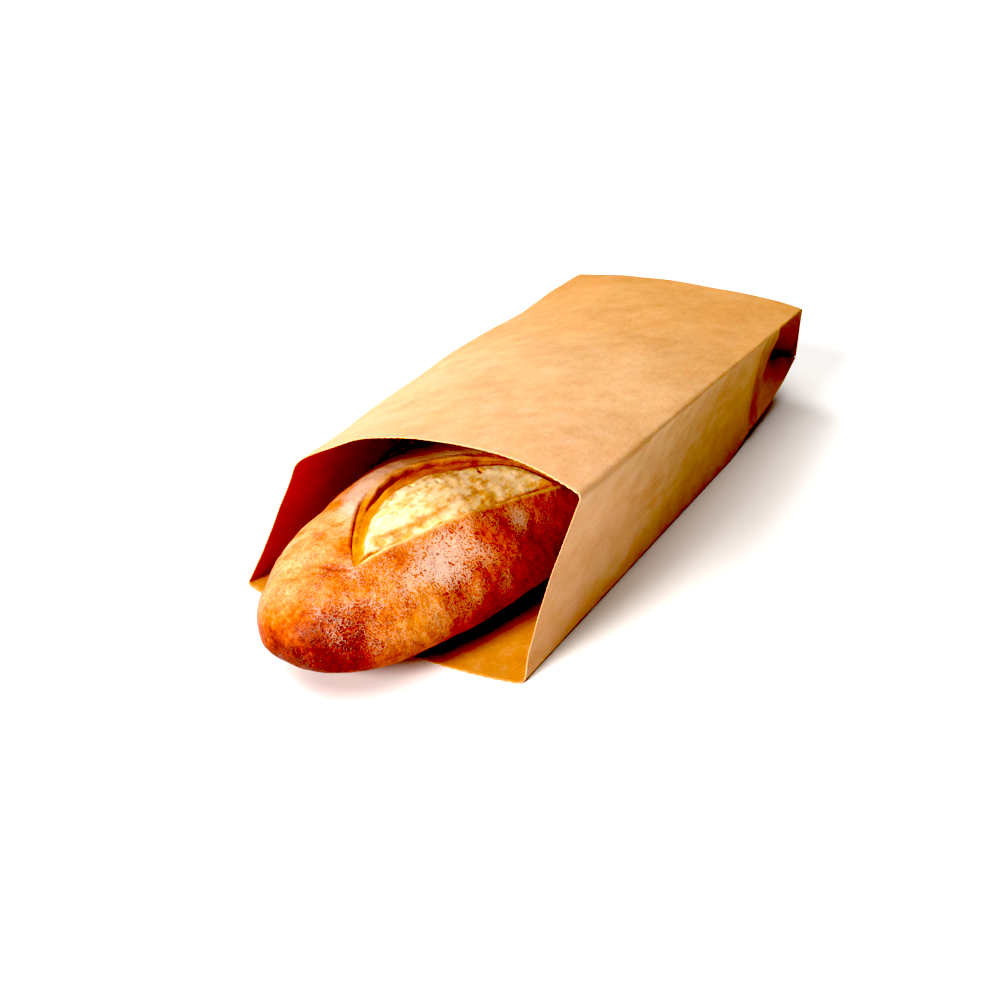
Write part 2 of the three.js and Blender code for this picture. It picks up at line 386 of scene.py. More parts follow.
@dataclass(frozen=True)
class BakedCrust:
    """Crust of a wheat loaf, proved in a floured cloth and baked with steam on a stone.

    The eye gets a mottled orange-brown skin with a slight shine where it is darkest, grains of flour that
    lie dull on it, and matt, pale, torn crumb in the cuts, with a golden skin between crumb and crust.
    """

    grain: float = 0.8  # grains of flour, drawn a little coarser than real ones
    mottle: float = 4.5  # blotches of deeper baking
    cloud: float = 24.0  # slow change of colour over the loaf
    fibre: float = 2.6  # strands of torn crumb
    curl: float = 1.35  # short curled crests on which flour stays
    patch: float = 8.0  # golden patches on the crumb
    crust_stops: Stops = (
        (0.02, "#DFA874"),
        (0.22, "#D5884C"),
        (0.42, "#C56C32"),
        (0.60, "#A94E20"),
        (0.80, "#8C3416"),
        (1.0, "#662310"),
    )
    flour_colour: str = "#E6CDB8"
    crumb_stops: Stops = ((0.32, "#DDAA62"), (0.44, "#ECCF92"), (0.60, "#F4E4BC"))
    golden_stops: Stops = ((0.25, "#A0582A"), (0.45, "#C98234"), (0.65, "#DFA54A"))
    # painted shade: the dark red-brown laid into cracks and grooves
    crack_shade_colour: str = "#9A3812"
    edge_colour: str = "#ECC98C"

    def make(self) -> Material:
        """Builds the material.

        Returns:
            The finished material.
        """
        recipe = Recipe("baked_wheat_crust", grit=0.6)
        layers = {layer: recipe.layer(layer.value) for layer in Layer}
        baked, dusted, torn = layers[Layer.BAKE], layers[Layer.FLOUR], layers[Layer.CRUMB]
        fine = recipe.noise(self.grain, 3.0)
        coarse = recipe.noise(self.grain * 2.4, 3.0)
        mottle = recipe.noise(self.mottle, 4.0)
        cloud = recipe.noise(self.cloud, 2.0)
        bake = recipe.total(-1.15, (baked, 1.0), (mottle, 0.75), (coarse, 0.6), (cloud, 0.5), (fine, 0.45))
        crust = recipe.ramp(bake, self.crust_stops)

        # flour stays on the crests of the curls, which are where a noise passes its middle
        valley = recipe.maths("ABSOLUTE", recipe.total(-0.5, (recipe.noise(self.curl, 2.0), 1.0)))
        curls = recipe.total(0.5, (valley, -3.0))
        dusting = recipe.total(curls, (fine, 0.35), (mottle, 0.25))
        bare = recipe.total(0.84, (dusted, -0.62))
        lying = recipe.step(dusting, bare, recipe.total(0.22, (bare, 1.0)))
        grains = recipe.maths("MULTIPLY", lying, recipe.total(0.22, (dusted, 0.5)))
        colour = recipe.blend(grains, crust, linear(self.flour_colour))

        strands = recipe.noise(self.fibre, 5.0, (1.0, 0.4, 1.0))
        golden = recipe.ramp(recipe.noise(self.fibre * 2, 4.0, (1.0, 0.35, 1.0)), self.golden_stops)
        toasted = recipe.step(recipe.noise(self.patch, 3.0, (1.0, 0.6, 1.0)), 0.5, 0.68, 0.75)
        crumb = recipe.blend(toasted, recipe.ramp(strands, self.crumb_stops), golden)
        # the crack colour is painted shade
        edge, crack = linear(self.edge_colour), linear(self.crack_shade_colour)
        coats = {Layer.GOLDEN: golden, Layer.CRUMB: crumb, Layer.EDGE: edge, Layer.CRACK: crack}
        for layer, coat in coats.items():
            colour = recipe.blend(layers[layer], colour, coat)

        dull = recipe.maths("MAXIMUM", grains, torn)
        skin = recipe.total(0.0, (curls, 0.5), (coarse, 0.7), (mottle, 0.8), (fine, 0.45))
        height = recipe.total(0.0, (strands, 0.5), (skin, recipe.total(1.0, (torn, -0.75))))
        roughness = recipe.total(0.5, (dull, 0.36))
        surface = {"Base Color": colour, "Roughness": roughness, "Specular IOR Level": 0.35}
        return recipe.finish(height, 0.55, 0.5, surface)


class PaperSide(Enum):
    """The two faces of the bag's paper, and the tones of each: the inside is darker and redder, painted shade
    for the inside of the bag.
    """

    OUTER = ((0.25, "#C39368"), (0.5, "#D1A880"), (0.75, "#DBB894"))
    # painted shade: the same paper, darker and redder inside the bag
    INNER = ((0.25, "#B67A44"), (0.5, "#C68A54"), (0.75, "#D19B68"))


@dataclass(frozen=True)
class KraftPaper:
    """Unbleached kraft paper of about 60 g/m2, made on a wire and dried on a cylinder.

    The eye gets a matt tan sheet, cloudy where fibres lie thicker, with fine pale and dark fibres, faint
    ribs along the way it ran through the machine, and a slight shine at a low angle. Light that has gone
    through it is red.
    """

    side: PaperSide
    fibre: float = 0.45  # a fibre's width as drawn, coarser than a real one so that it shows
    cloud: float = 7.0  # clouds of thicker and thinner fibre
    patch: float = 55.0  # slow change over a panel
    smudge: float = 14.0  # slanting marks of creasing
    rib: float = 1.1  # pitch of the ribs
    rear_shade_tint: str = "#E4CFB4"  # painted shade: the tint the paper is multiplied by towards the rear end

    def make(self) -> Material:
        """Builds the material.

        Returns:
            The finished material.
        """
        recipe = Recipe(f"kraft_paper_{self.side.name.lower()}", grit=0.55)
        long_fibres = recipe.noise(self.fibre, 2.0, (1.0, 0.12, 1.0), 0.35)
        cross_fibres = recipe.noise(self.fibre, 2.0, (1.0, 0.15, 1.0), -0.9)
        clouds = recipe.noise(self.cloud, 4.0, (1.0, 0.6, 1.0))
        patches = recipe.noise(self.patch, 2.0, (1.0, 0.5, 1.0), 0.2)
        smudges = recipe.noise(self.smudge, 3.0, (1.0, 0.45, 1.0), 0.9)
        ribs = recipe.noise(self.rib, 1.0, (1.0, 0.015, 1.0))
        fibres = recipe.total(-0.48, (long_fibres, 0.4), (cross_fibres, 0.35), (ribs, 0.12))
        tone = recipe.total(fibres, (clouds, 0.4), (patches, 0.4), (smudges, 0.28))
        clean = recipe.ramp(tone, self.side.value)
        # painted shade: the paper darkens from the mouth towards the rear end
        colour = recipe.blend(recipe.layer(REAR_SHADE), clean, linear(self.rear_shade_tint), "MULTIPLY")
        height = recipe.total(0.0, (clouds, 0.9), (ribs, 0.5), (cross_fibres, 0.4), (long_fibres, 0.5))
        surface = {
            "Base Color": colour,
            "Roughness": 0.78,
            "Specular IOR Level": 0.15,
            "Subsurface Weight": 0.8,
            "Subsurface Radius": (1.0, 0.28, 0.10),
            "Subsurface Scale": 0.85 * MM,
        }
        return recipe.finish(height, 0.35, 0.25, surface)


# ---------------------------------------------------------------- turning arrays into pieces


@dataclass
class Workbench:
    """Where the pieces stand in the frame, and how an array of points becomes a Blender object."""

    origin: Vector  # the middle of the mouth's bottom edge, in the frame's metres

    def piece(
        self,
        name: str,
        points: Array,
        faces: list[Array],
        materials: list[Material],
        slots: Array | None = None,
        layers: dict[str, Array] | None = None,
    ) -> bpy.types.Object:
        """Makes one smooth-shaded mesh object at the origin, with its place in its mesh.

        Args:
            name: The piece's name.
            points: One row of x, y and z in millimetres a point.
            faces: Arrays of face corners, one array for each number of corners.
            materials: The piece's material slots.
            slots: The material slot of each face, all 0 if left out.
            layers: Measures kept with each point, by name.

        Returns:
            The object.
        """
        mesh = bpy.data.meshes.new(name)
        placed = points * MM + np.array(self.origin)
        mesh.from_pydata(placed.tolist(), [], [face for group in faces for face in group.tolist()])
        mesh.polygons.foreach_set("use_smooth", np.ones(len(mesh.polygons), dtype=bool))
        if slots is not None:
            mesh.polygons.foreach_set("material_index", slots.astype(np.int32))
        for layer_name, values in (layers or {}).items():
            attribute = mesh.attributes.new(layer_name, "FLOAT", "POINT")
            attribute.data.foreach_set("value", values.astype(np.float32).ravel())
        for material in materials:
            mesh.materials.append(material)
        mesh.update()
        piece = bpy.data.objects.new(name, mesh)
        bpy.context.scene.collection.objects.link(piece)
        LOG.info("%s: %d points, %d faces", name, len(points), len(mesh.polygons))
        return piece


# ---------------------------------------------------------------- the loaf


@dataclass(frozen=True)
class Score:
    """One cut of the baker's blade, opened in the oven into a leaf with one straight edge.

    The straight edge is on the right and stands up as a thin lip. From there leftwards come a groove, the
    bulging torn crumb, a golden band of thin skin and, along the middle of the far edge, a deep crack
    under the turned-up crust.
    """

    start: Pair  # where the blade went in, on the loaf's own axes
    length: float = 115.0
    width: float = 50.0
    heading: float = math.radians(16.9)
    fullness: float = 0.85
    band: Triple = (9.5, 16.5, 9.5)  # the golden band's width in front, halfway and at the end
    # the floor's height across the leaf: place from the lip, 0.5 where the band starts, and height
    floor: tuple[Pair, ...] = (
        (0.0, -1.2),
        (0.035, -2.5),
        (0.07, -2.4),
        (0.13, -1.3),
        (0.24, -0.1),
        (0.36, 0.4),
        (0.46, -0.1),
        (0.54, -1.3),
        (0.64, -1.8),
        (0.76, -1.5),
        (0.85, -0.9),
        (0.95, -0.6),
        (1.0, -0.3),
    )
    full_width: float = 24.0  # a leaf narrower than this has a shallower floor
    crack_at: float = 0.875  # where the crack is, as a share of the leaf's width
    crack_depth: float = 2.6
    lip_height: float = 1.3
    ear_height: float = 0.6

    def opening(self, along: Array) -> Array:
        """The leaf's width at a share of its length: the width times the sine of half a turn, to a power."""
        return self.width * np.sin(np.pi * np.clip(along, 0.0, 1.0)) ** self.fullness

    def place(self, x: Array, y: Array) -> tuple[Array, Array]:
        """Each place's share of the cut's length, and its distance to the left of the straight edge."""
        dx, dy = x - self.start[0], y - self.start[1]
        along = (dx * math.sin(self.heading) + dy * math.cos(self.heading)) / self.length
        left = dy * math.sin(self.heading) - dx * math.cos(self.heading)
        return along, left

    def straight_edge(self, y: Array) -> Array:
        """The straight edge's x at each y, held at its ends beyond them."""
        run = np.clip(y - self.start[1], 0.0, self.length * math.cos(self.heading))
        return self.start[0] + run * math.tan(self.heading)

    def far_edge(self, y: Array) -> Array:
        """The curved edge's x at each y, found along the leaf's outline and held beyond its ends."""
        along = np.linspace(0.0, 1.0, 400)
        width = self.opening(along)
        run, sine, cosine = self.length * along, math.sin(self.heading), math.cos(self.heading)
        edge_x = self.start[0] + run * sine - width * cosine
        edge_y = self.start[1] + run * cosine + width * sine
        return np.interp(y, edge_y, edge_x)

    def relief(self, x: Array, y: Array, points: Array, seed: int) -> tuple[Array, dict[Layer, Array]]:
        """How far the cut moves the crust outwards, and its measures.

        The profile across the leaf is a line through listed heights, scaled down where the leaf is narrow;
        the lip and the far edge are added as falling exponentials on the crust outside it.

        Args:
            x: Places across, on the loaf's own axes.
            y: Places along.
            points: The same places in space, for the random parts.
            seed: Seed of the random parts.

        Returns:
            The rise in millimetres, and each measure from 0 to 1.
        """
        along, left = self.place(x, y)
        width = self.opening(along)
        across = left / np.maximum(width, 1e-3)
        within = ((along > 0.0) & (along < 1.0)).astype(float)
        fade = smoothstep(0.0, 0.07, along) * smoothstep(1.0, 0.93, along) * within
        size = np.clip(width / self.full_width, 0.0, 1.0)
        ragged = uneven(points, Wave(0.6, 7.0, seed), Wave(0.35, 2.5, seed + 1))

        front, halfway, end = self.band
        band = front + (halfway - front) * smoothstep(0.12, 0.5, along)
        band = band + (end - halfway) * smoothstep(0.62, 0.86, along)
        brim = np.clip(1.0 - band / np.maximum(width, 1.0), 0.3, 0.9)
        level = np.where(across < brim, across / brim / 2, 0.5 + (across - brim) / (1.0 - brim) / 2)
        inside = smoothstep(0.0, 0.9, left) * smoothstep(0.0, 0.9, width - left) * within
        torn = smoothstep(0.20, 0.36, along) * smoothstep(0.84, 0.70, along)
        crack_line = self.crack_at + uneven(points, Wave(0.004, 9.0, seed + 2))
        ear = smoothstep(crack_line, crack_line + 0.012, across) * torn * inside

        coarse, fine = Wave(0.07, 6.0, seed + 3, (2.2, 1.0, 1.0)), Wave(0.03, 2.4, seed + 4, (2.0, 1.0, 1.0))
        strands = uneven(points, coarse, fine)
        pits = -0.8 * smoothstep(1.6, 2.5, ripple(points, 5.0, seed + 5)) * hump(0.45, 0.16, level)
        crumb = smoothstep(1.6, 4.6, left + 0.8 * ragged) * smoothstep(0.54, 0.46, level + 0.02 * ragged)
        crumb = crumb * inside * smoothstep(0.99, 0.86, along + 0.02 * ragged)
        streak = hump(8.5 + 0.7 * ragged, 1.8, left) * smoothstep(0.08, 0.18, along)
        crumb = crumb * (1.0 - 0.75 * streak * smoothstep(0.5, 0.38, along))
        floor = np.interp(level, *np.array(self.floor).T)
        floor = floor + crumb * (strands + pits) + (1.0 - crumb) * 0.5 * strands
        turned_up = self.ear_height - 0.4 * (across - 0.865) / 0.135
        rise = inside * (1.0 - ear) * floor * size + ear * turned_up

        # painted shade: the crack under the ear and a thin line along the far edge in front are darkened as
        # well as sunk
        crack = torn * hump(crack_line - 0.012, 0.016, across) * inside
        far_line = (1.0 - torn) * hump(0.0, 0.7, width - left) * fade
        rise = rise - self.crack_depth * crack - 0.5 * far_line * inside
        lip = np.where(left < 0.0, np.exp(np.minimum(left, 0.0) / 3.5), hump(0.0, 0.5, left)) * fade
        rim = np.where(left > width, np.exp(np.minimum(width - left, 0.0) / 5.0), 0.0) * fade
        rise = rise + (self.lip_height + 0.15 * ragged) * lip + 0.35 * rim
        # painted shade: a dark line just inside the lip in the cut's far half, and the groove beside the lip
        darkened = 0.7 * hump(2.0, 1.3, left) * smoothstep(0.45, 0.6, along) * smoothstep(-0.6, 0.8, ragged)
        groove = (0.25 * hump(1.6, 0.9, left) + darkened) * fade * inside

        measures = {
            Layer.CRUMB: crumb,
            Layer.GOLDEN: inside * (1.0 - crumb) * (1.0 - ear),
            Layer.CRACK: np.clip(crack + 0.75 * far_line + groove, 0.0, 1.0),
            # the ear's 0.3 share of the pale edge colour is a painted highlight
            Layer.EDGE: np.clip(1.2 * hump(-0.1, 0.85, left) * fade + 0.3 * ear, 0.0, 1.0),
        }
        return rise, measures


@dataclass
class Loaf:
    """The baked loaf: a blunt spindle with an oval section, lying a little turned in its bag."""

    length: float = 305.0
    width: float = 107.5
    height: float = 55.4
    widest_at: float = 0.41
    plan_power: float = 2.36
    plan_root: float = 1 / 2.37
    height_power: float = 0.8
    roundness: float = 0.92
    tip: Triple = (-3.2, -57.7, 1.0)
    yaw: float = math.radians(2.5)
    rows: int = 344
    sole: float = 1.6  # height below which the loaf is pressed flat by the oven's floor
    scores: tuple[Score, ...] = (Score((8.6, 33.7)), Score((-4.0, 141.0)))
    # points round a ring: from the underside to the right side, the straight edge, the far edge, the left
    # side and the underside again
    around: tuple[int, int, int, int, int] = (36, 40, 112, 34, 38)
    nick: tuple[Pair, Pair] = ((-6.3, 28.7), (8.4, 32.7))
    nick_deep: float = 0.8
    swelling: tuple[Wave, ...] = (Wave(0.55, 55.0, 3), Wave(0.22, 20.0, 4), Wave(0.07, 7.0, 5))
    bake_clouds: tuple[Wave, ...] = (Wave(0.05, 26.0, 11), Wave(0.04, 11.0, 12))
    flour_cloud: Wave = Wave(0.07, 14.0, 21)
    bake_and_light_spots: tuple[Spot, ...] = (
        Spot((15.9, 4.8, 25.0), 16.0, 0.55),
        Spot((23.7, 19.9, 37.7), 9.0, 0.20),
        Spot((-6.0, 2.0, 24.0), 11.0, 0.30),
        Spot((-36.0, 22.0, 20.0), 22.0, 0.10),
        Spot((36.0, 60.0, 42.0), 19.0, 0.12),
        # painted light: this negative spot makes the low right flank paler
        Spot((44.0, 46.0, 22.0), 20.0, -0.20),
    )
    flour_spots: tuple[Spot, ...] = (
        Spot((9.0, 10.1, 40.0), 5.0, 0.50),
        Spot((23.0, 13.5, 36.0), 4.5, 0.44),
        Spot((39.7, 105.7, 44.9), 9.0, 0.90),
        Spot((27.0, 82.0, 49.0), 12.0, 0.62),
        Spot((4.0, 200.0, 54.0), 30.0, 0.80),
    )

    def girth(self, share: Array) -> Array:
        """The plan's half-width as a share of the widest: 1 less |2s - 1| to a power, to a root."""
        return (1.0 - np.abs(2.0 * share - 1.0) ** self.plan_power) ** self.plan_root

    def row_shares(self) -> Array:
        """Shares of the length where a ring is taken, closest around the first cut and at the front end."""
        fine = (1.0 - np.cos(np.linspace(0.0, np.pi, 8001))) / 2
        girth = self.girth(fine)
        path = np.hypot(np.gradient(fine) * self.length, np.gradient(girth) * self.width / 2)
        y = fine * self.length
        gap = 0.85 - 0.32 * smoothstep(26.0, 34.0, y) + 1.6 * smoothstep(140.0, 165.0, y)
        total = np.cumsum(path / gap)
        wanted = np.linspace(total[0], total[-1], self.rows + 2)[1:-1]
        return np.interp(wanted, total, fine)

    def ring_angles(self, share: Array) -> Array:
        """Angles of each ring's points, so that lines of points follow both edges of the first cut.

        Between anchors the points are evenly spread. The anchors are the underside, the right side, the
        straight edge, the far edge, the left side and the underside again.
        """
        first = self.scores[0]
        y = share * self.length
        half = self.width / 2 * self.girth(share)
        straight = np.minimum(first.straight_edge(y), half * 0.82)
        far = np.minimum(first.far_edge(y), straight - 14.0 * half / (self.width / 2))
        far = np.maximum(far, -half * 0.75)
        straight = np.maximum(straight, far + 6.0 * half / (self.width / 2))

        def angle(x: Array) -> Array:
            """The angle whose place across is x: the section's formula turned round."""
            across = np.clip(x / half, -1.0, 1.0)
            return np.arccos(np.sign(across) * np.abs(across) ** (1.0 / self.roundness))

        under, right, left = (np.full_like(share, turn * np.pi) for turn in (-0.5, 0.0, 1.0))
        anchors = [under, right, angle(straight), angle(far), left, under + FULL_TURN]
        stretches = []
        for count, start, end in zip(self.around, anchors[:-1], anchors[1:]):
            steps = np.arange(count) / count
            stretches.append(start[:, None] + (end - start)[:, None] * steps[None, :])
        return np.concatenate(stretches, axis=1)

    def crust(self) -> tuple[Array, dict[Layer, Array]]:
        """The loaf's surface as a grid of rings, on its own axes, and its measures.

        A ring's point is at half-width times the girth times cosine across, and at the widest height plus or
        minus the rest of the height times the girth to a power times sine, both to the section's roundness.

        Returns:
            The grid of points, and each measure on the same grid.
        """
        share = self.row_shares()
        angles = self.ring_angles(share)
        girth = self.girth(share)[:, None]

        def swell(value: Array) -> Array:
            """The value to the section's roundness, with its sign kept."""
            return np.sign(value) * np.abs(value) ** self.roundness

        middle = self.height * self.widest_at
        reach = np.where(np.sin(angles) > 0.0, self.height - middle, middle)
        x = self.width / 2 * girth * swell(np.cos(angles))
        y = np.broadcast_to((share * self.length)[:, None], x.shape)
        z = middle + reach * girth**self.height_power * swell(np.sin(angles))
        plain = np.stack([x, y, z], axis=-1)
        normals = tube_normals(plain)

        above = smoothstep(middle - 4.0, middle + 4.0, z)
        rise = uneven(plain, *self.swelling) * smoothstep(0.0, 18.0, z)
        totals = {layer: np.zeros_like(x) for layer in Layer}
        for number, score in enumerate(self.scores):
            lift, measures = score.relief(x, y, plain, 40 + 10 * number)
            rise = rise + lift * above
            for layer, value in measures.items():
                totals[layer] = np.maximum(totals[layer], value * above)
        nick = self.nick_depth(x, y) * above
        rise = rise - self.nick_deep * nick
        # painted shade: the nick is darkened as well as sunk
        totals[Layer.CRACK] = np.maximum(totals[Layer.CRACK], 0.8 * nick)
        points = plain + normals * rise[..., None]
        points[..., 2] = np.maximum(points[..., 2], 0.0)
        low = points[..., 2] < self.sole
        points[..., 2] = np.where(low, self.sole - (self.sole - points[..., 2]) * 0.15, points[..., 2])
        points[..., 2] -= points[..., 2].min()
        totals[Layer.BAKE] = self.bake(plain)
        totals[Layer.FLOUR] = self.flour(plain, totals)
        return points, totals

    def nick_depth(self, x: Array, y: Array) -> Array:
        """A bell around a short line across the crust in front of the first cut."""
        (x0, y0), (x1, y1) = self.nick
        run = np.array([x1 - x0, y1 - y0])
        length = float(np.hypot(*run))
        share = ((x - x0) * run[0] + (y - y0) * run[1]) / length**2
        side = ((x - x0) * run[1] - (y - y0) * run[0]) / length - 1.2 * np.sin(np.pi * np.clip(share, 0, 1))
        return hump(0.0, 0.6, side) * smoothstep(0.0, 0.2, share) * smoothstep(1.05, 0.9, share)

    def bake(self, plain: Array) -> Array:
        """How dark the crust is: most near the sole and the front end, paler on the top's left shoulder and
        low on the right flank as painted light.
        """
        x, y, z = np.moveaxis(plain, -1, 0)
        level = z / self.height
        dark = 0.43 + 0.18 * smoothstep(0.80, 0.10, level) + sum(spot.on(plain) for spot in self.bake_and_light_spots)
        # painted highlight: the top's left shoulder is made paler, where the key light falls
        dark = dark - 0.22 * smoothstep(8.0, -16.0, x) * smoothstep(0.35, 0.8, level)
        dark = dark + 0.12 * smoothstep(self.length - 45.0, self.length - 5.0, y)
        return np.clip(dark + uneven(plain, *self.bake_clouds), 0.0, 1.0)

    def flour(self, plain: Array, measures: dict[Layer, Array]) -> Array:
        """How thick the flour lies: a drift on the right flank, a thin coat, and spots in front.

        Args:
            plain: Places on the loaf before it is cut.
            measures: The cuts' measures at those places, where no flour lies.

        Returns:
            The thickness, from 0 to 1.
        """
        x, y, z = np.moveaxis(plain, -1, 0)
        drift = 0.95 * hump(62.0, 27.0, y) * hump(31.0, 15.0, x) * hump(44.0, 14.0, z)
        first = self.scores[0]
        along, left = first.place(x, y)
        shoulder = 1.2 * hump(4.0, 11.0, left - first.opening(along))
        shoulder = shoulder * smoothstep(0.06, 0.25, along) * smoothstep(1.0, 0.8, along)
        spots = [spot.on(plain) for spot in self.flour_spots]
        darkened = hump(14.0, 24.0, x) * hump(4.0, 9.0, y) * hump(23.0, 11.0, z)
        thin = (0.27 + 0.12 * smoothstep(-6.0, 16.0, x)) * smoothstep(6.0, 28.0, z) * (1.0 - 0.85 * darkened)
        coat = np.maximum.reduce([drift, shoulder, thin, *spots]) + uneven(plain, self.flour_cloud)
        clear = np.maximum(measures[Layer.CRUMB], measures[Layer.GOLDEN])
        return np.clip(coat, 0.0, 1.0) * (1.0 - clear) * (1.0 - 0.7 * measures[Layer.EDGE])

    def build(self, bench: Workbench, finish: BakedCrust) -> bpy.types.Object:
        """Makes the loaf where it lies.

        Args:
            bench: Places the piece in the frame.
            finish: The crust's finish.

        Returns:
            The loaf's object.
        """
        grid, measures = self.crust()
        rows, ring = grid.shape[:2]
        middle = self.height * self.widest_at
        tips = np.array([[0.0, 0.0, middle], [0.0, self.length, middle]])
        points = np.concatenate([grid.reshape(-1, 3), tips])
        sine, cosine = math.sin(self.yaw), math.cos(self.yaw)
        turn = np.array([[cosine, sine, 0], [-sine, cosine, 0], [0, 0, 1]])
        points = points @ turn.T + np.array(self.tip)
        front, rear = np.full(ring, rows * ring), np.full(ring, rows * ring + 1)
        i = np.arange(ring)
        j = (i + 1) % ring
        last = (rows - 1) * ring
        fans = np.concatenate([np.stack([front, i, j], -1), np.stack([rear, last + j, last + i], -1)])
        layers = {
            layer.value: np.concatenate([value.ravel(), [value[0].mean(), value[-1].mean()]])
            for layer, value in measures.items()
        }
        faces = [tube_quads(rows, ring), fans]
        return bench.piece("crusty_loaf", points, faces, [finish.make()], layers=layers)


# ---------------------------------------------------------------- the bag


@dataclass
class PaperBag:
    """The folded tube of kraft paper, open at the mouth and pressed flat at the rear seam.

    Each section is a plane through X and the line from a side's lower edge to its upper edge. Both edges run
    from the mouth to the seam with nearly the same length, as edges of one strip of paper do.
    """

    width: float = 140.0
    gusset: float = 84.0
    paper: float = 0.28  # drawn a little thicker than real paper, so that the cut edge shows
    mouth_right: Triple = (86.0, 15.0, 83.0)
    mouth_left: Pair = (-50.0, 63.0)
    mouth_foot: Pair = (74.0, 71.5)  # how far out the mouth's lower corners are
    mouth_arch: float = 16.5
    lip: float = 9.0
    ridge_right: Triple = (71.5, 320.6, 57.0)
    ridge_left: Pair = (-74.0, 51.5)
    ridge_arch: float = 5.6
    seam: Pair = (324.0, 26.0)
    bow_right: float = 3.4
    tuck_share: float = 0.62  # how far the gusset folds in, as a share of what its paper allows
    pleat_at: float = 0.778
    pleat_depth: float = 4.0
    # the underside's side view behind the loaf, as (y, z): it rises slowly to the seam
    rear_rise: tuple[Pair, ...] = (
        (226.0, 0.0),
        (254.0, 6.6),
        (282.0, 10.6),
        (306.0, 17.0),
        (319.0, 23.2),
    )
    corner_step: float = 1.7  # how far the mouth's lower corners stand forward
    left_belly: float = 4.0  # how far the left ridge bulges out halfway
    tooth: float = 0.22  # how far the saw-cut mouth edge zigzags
    sides: tuple[int, int, int, int] = (76, 62, 92, 60)  # points along the bottom, right, top and left
    stations: int = 166
    slack: tuple[Wave, ...] = (Wave(0.55, 75.0, 61, (1.0, 1.6, 1.0)), Wave(0.18, 26.0, 62, (1.0, 1.8, 1.0)))
    pleat_starts: tuple[float, ...] = (0.003, 0.038)  # how far ahead of pleat_at each pleat starts above
    pleat_height: float = 2.0
    strip_thickness: float = 0.8
    strip_rise: float = 25.0  # how far up the rear end the glued strip reaches
    strip_wave: Wave = Wave(0.16, 22.0, 71)
    strip_margin: float = 1.5  # how far inside the bag's sides the strip ends

    def edge_paths(self) -> tuple[Array, Array]:
        """Corners of the side panels' upper and lower edges, as (y, z)."""
        upper = np.array([self.mouth_right[1:], self.ridge_right[1:], (self.seam[0], self.seam[1] + 0.5)])
        lower = np.array([(0.0, 0.0), *self.rear_rise, (self.seam[0], self.seam[1] - 0.5)])
        return upper, lower

    @staticmethod
    def along_path(path: Array, share: Array) -> Array:
        """Points at shares of a bent line's length."""
        runs = np.concatenate([[0.0], np.cumsum(np.linalg.norm(np.diff(path, axis=0), axis=1))])
        return np.stack([np.interp(share * runs[-1], runs, path[:, axis]) for axis in (0, 1)], axis=-1)

    def ridge_share(self) -> float:
        """The share of the length at which the upper edge turns down."""
        upper, _ = self.edge_paths()
        runs = np.linalg.norm(np.diff(upper, axis=0), axis=1)
        return float(runs[0] / runs.sum())

    def shares(self) -> Array:
        """Shares of the length where a section is taken, closest at the mouth, the pleats and the ridge."""
        ridge = self.ridge_share()

        def spacing(share: Array) -> Array:
            """The wanted gap, as a share of the length times a constant."""
            gap = 2.6 - 1.2 * hump(0.0, 0.03, share) - 1.7 * hump(self.pleat_at, 0.04, share)
            return gap - 1.8 * hump(ridge, 0.02, share) - 1.2 * smoothstep(0.90, 0.96, share)

        return graded(1.0, spacing, self.stations)

    def side_fold(
        self, share: Array, height: Array, crease: Array, bow: float, t: Array
    ) -> tuple[Array, Array]:
        """How a side stands in its sections: up to the pleats a slow round bow, past them a gusset.

        The gusset is a V whose inner fold is the slanting crease. Its upper limb's length is half the
        paper's, plus half the difference of the limbs' squared heights over the paper's length. Its depth is
        what that length leaves beside its height, under a root, times a share, as crumpled paper springs
        back out.

        Args:
            share: Shares of the bag's length, one a section.
            height: The side's height in each section.
            crease: The slanting crease's height in each section.
            bow: How far the side bows in at the mouth.
            t: Shares of the paper's width from the lower edge to the upper one, as one row.

        Returns:
            The height and the depth of each point.
        """
        past = share > self.pleat_at
        crease = np.where(past, np.minimum(crease, 0.9 * height), height / 2)
        slack = (self.gusset - height - 1.0) * smoothstep(self.pleat_at, self.pleat_at + 0.024, share)
        paper = height + 1.0 + slack
        upper_limb = (paper + ((height - crease) ** 2 - crease**2) / paper) / 2
        depth = self.tuck_share * np.sqrt(np.maximum(upper_limb**2 - (height - crease) ** 2, 0.0)) * past
        none = np.zeros_like(share)
        knots = [none, 1.0 - upper_limb / paper, none + 1.0]
        rise = bent(t, knots, [none, crease, height])
        fold = bent(t, knots, [none, depth, none])
        slow = bow + (self.pleat_depth - bow) * np.clip(share / self.pleat_at, 0.0, 1.0) ** 2
        fade = smoothstep(self.pleat_at + 0.03, self.pleat_at, share)
        return rise, fold + (slow * fade)[:, None] * 4.0 * t * (1.0 - t)

    def blend(self, share: Array, mouth: float, ridge: float, seam: float) -> Array:
        """A value that runs straight from mouth to ridge and from there to the seam."""
        return np.interp(share, [0.0, self.ridge_share(), 1.0], [mouth, ridge, seam])

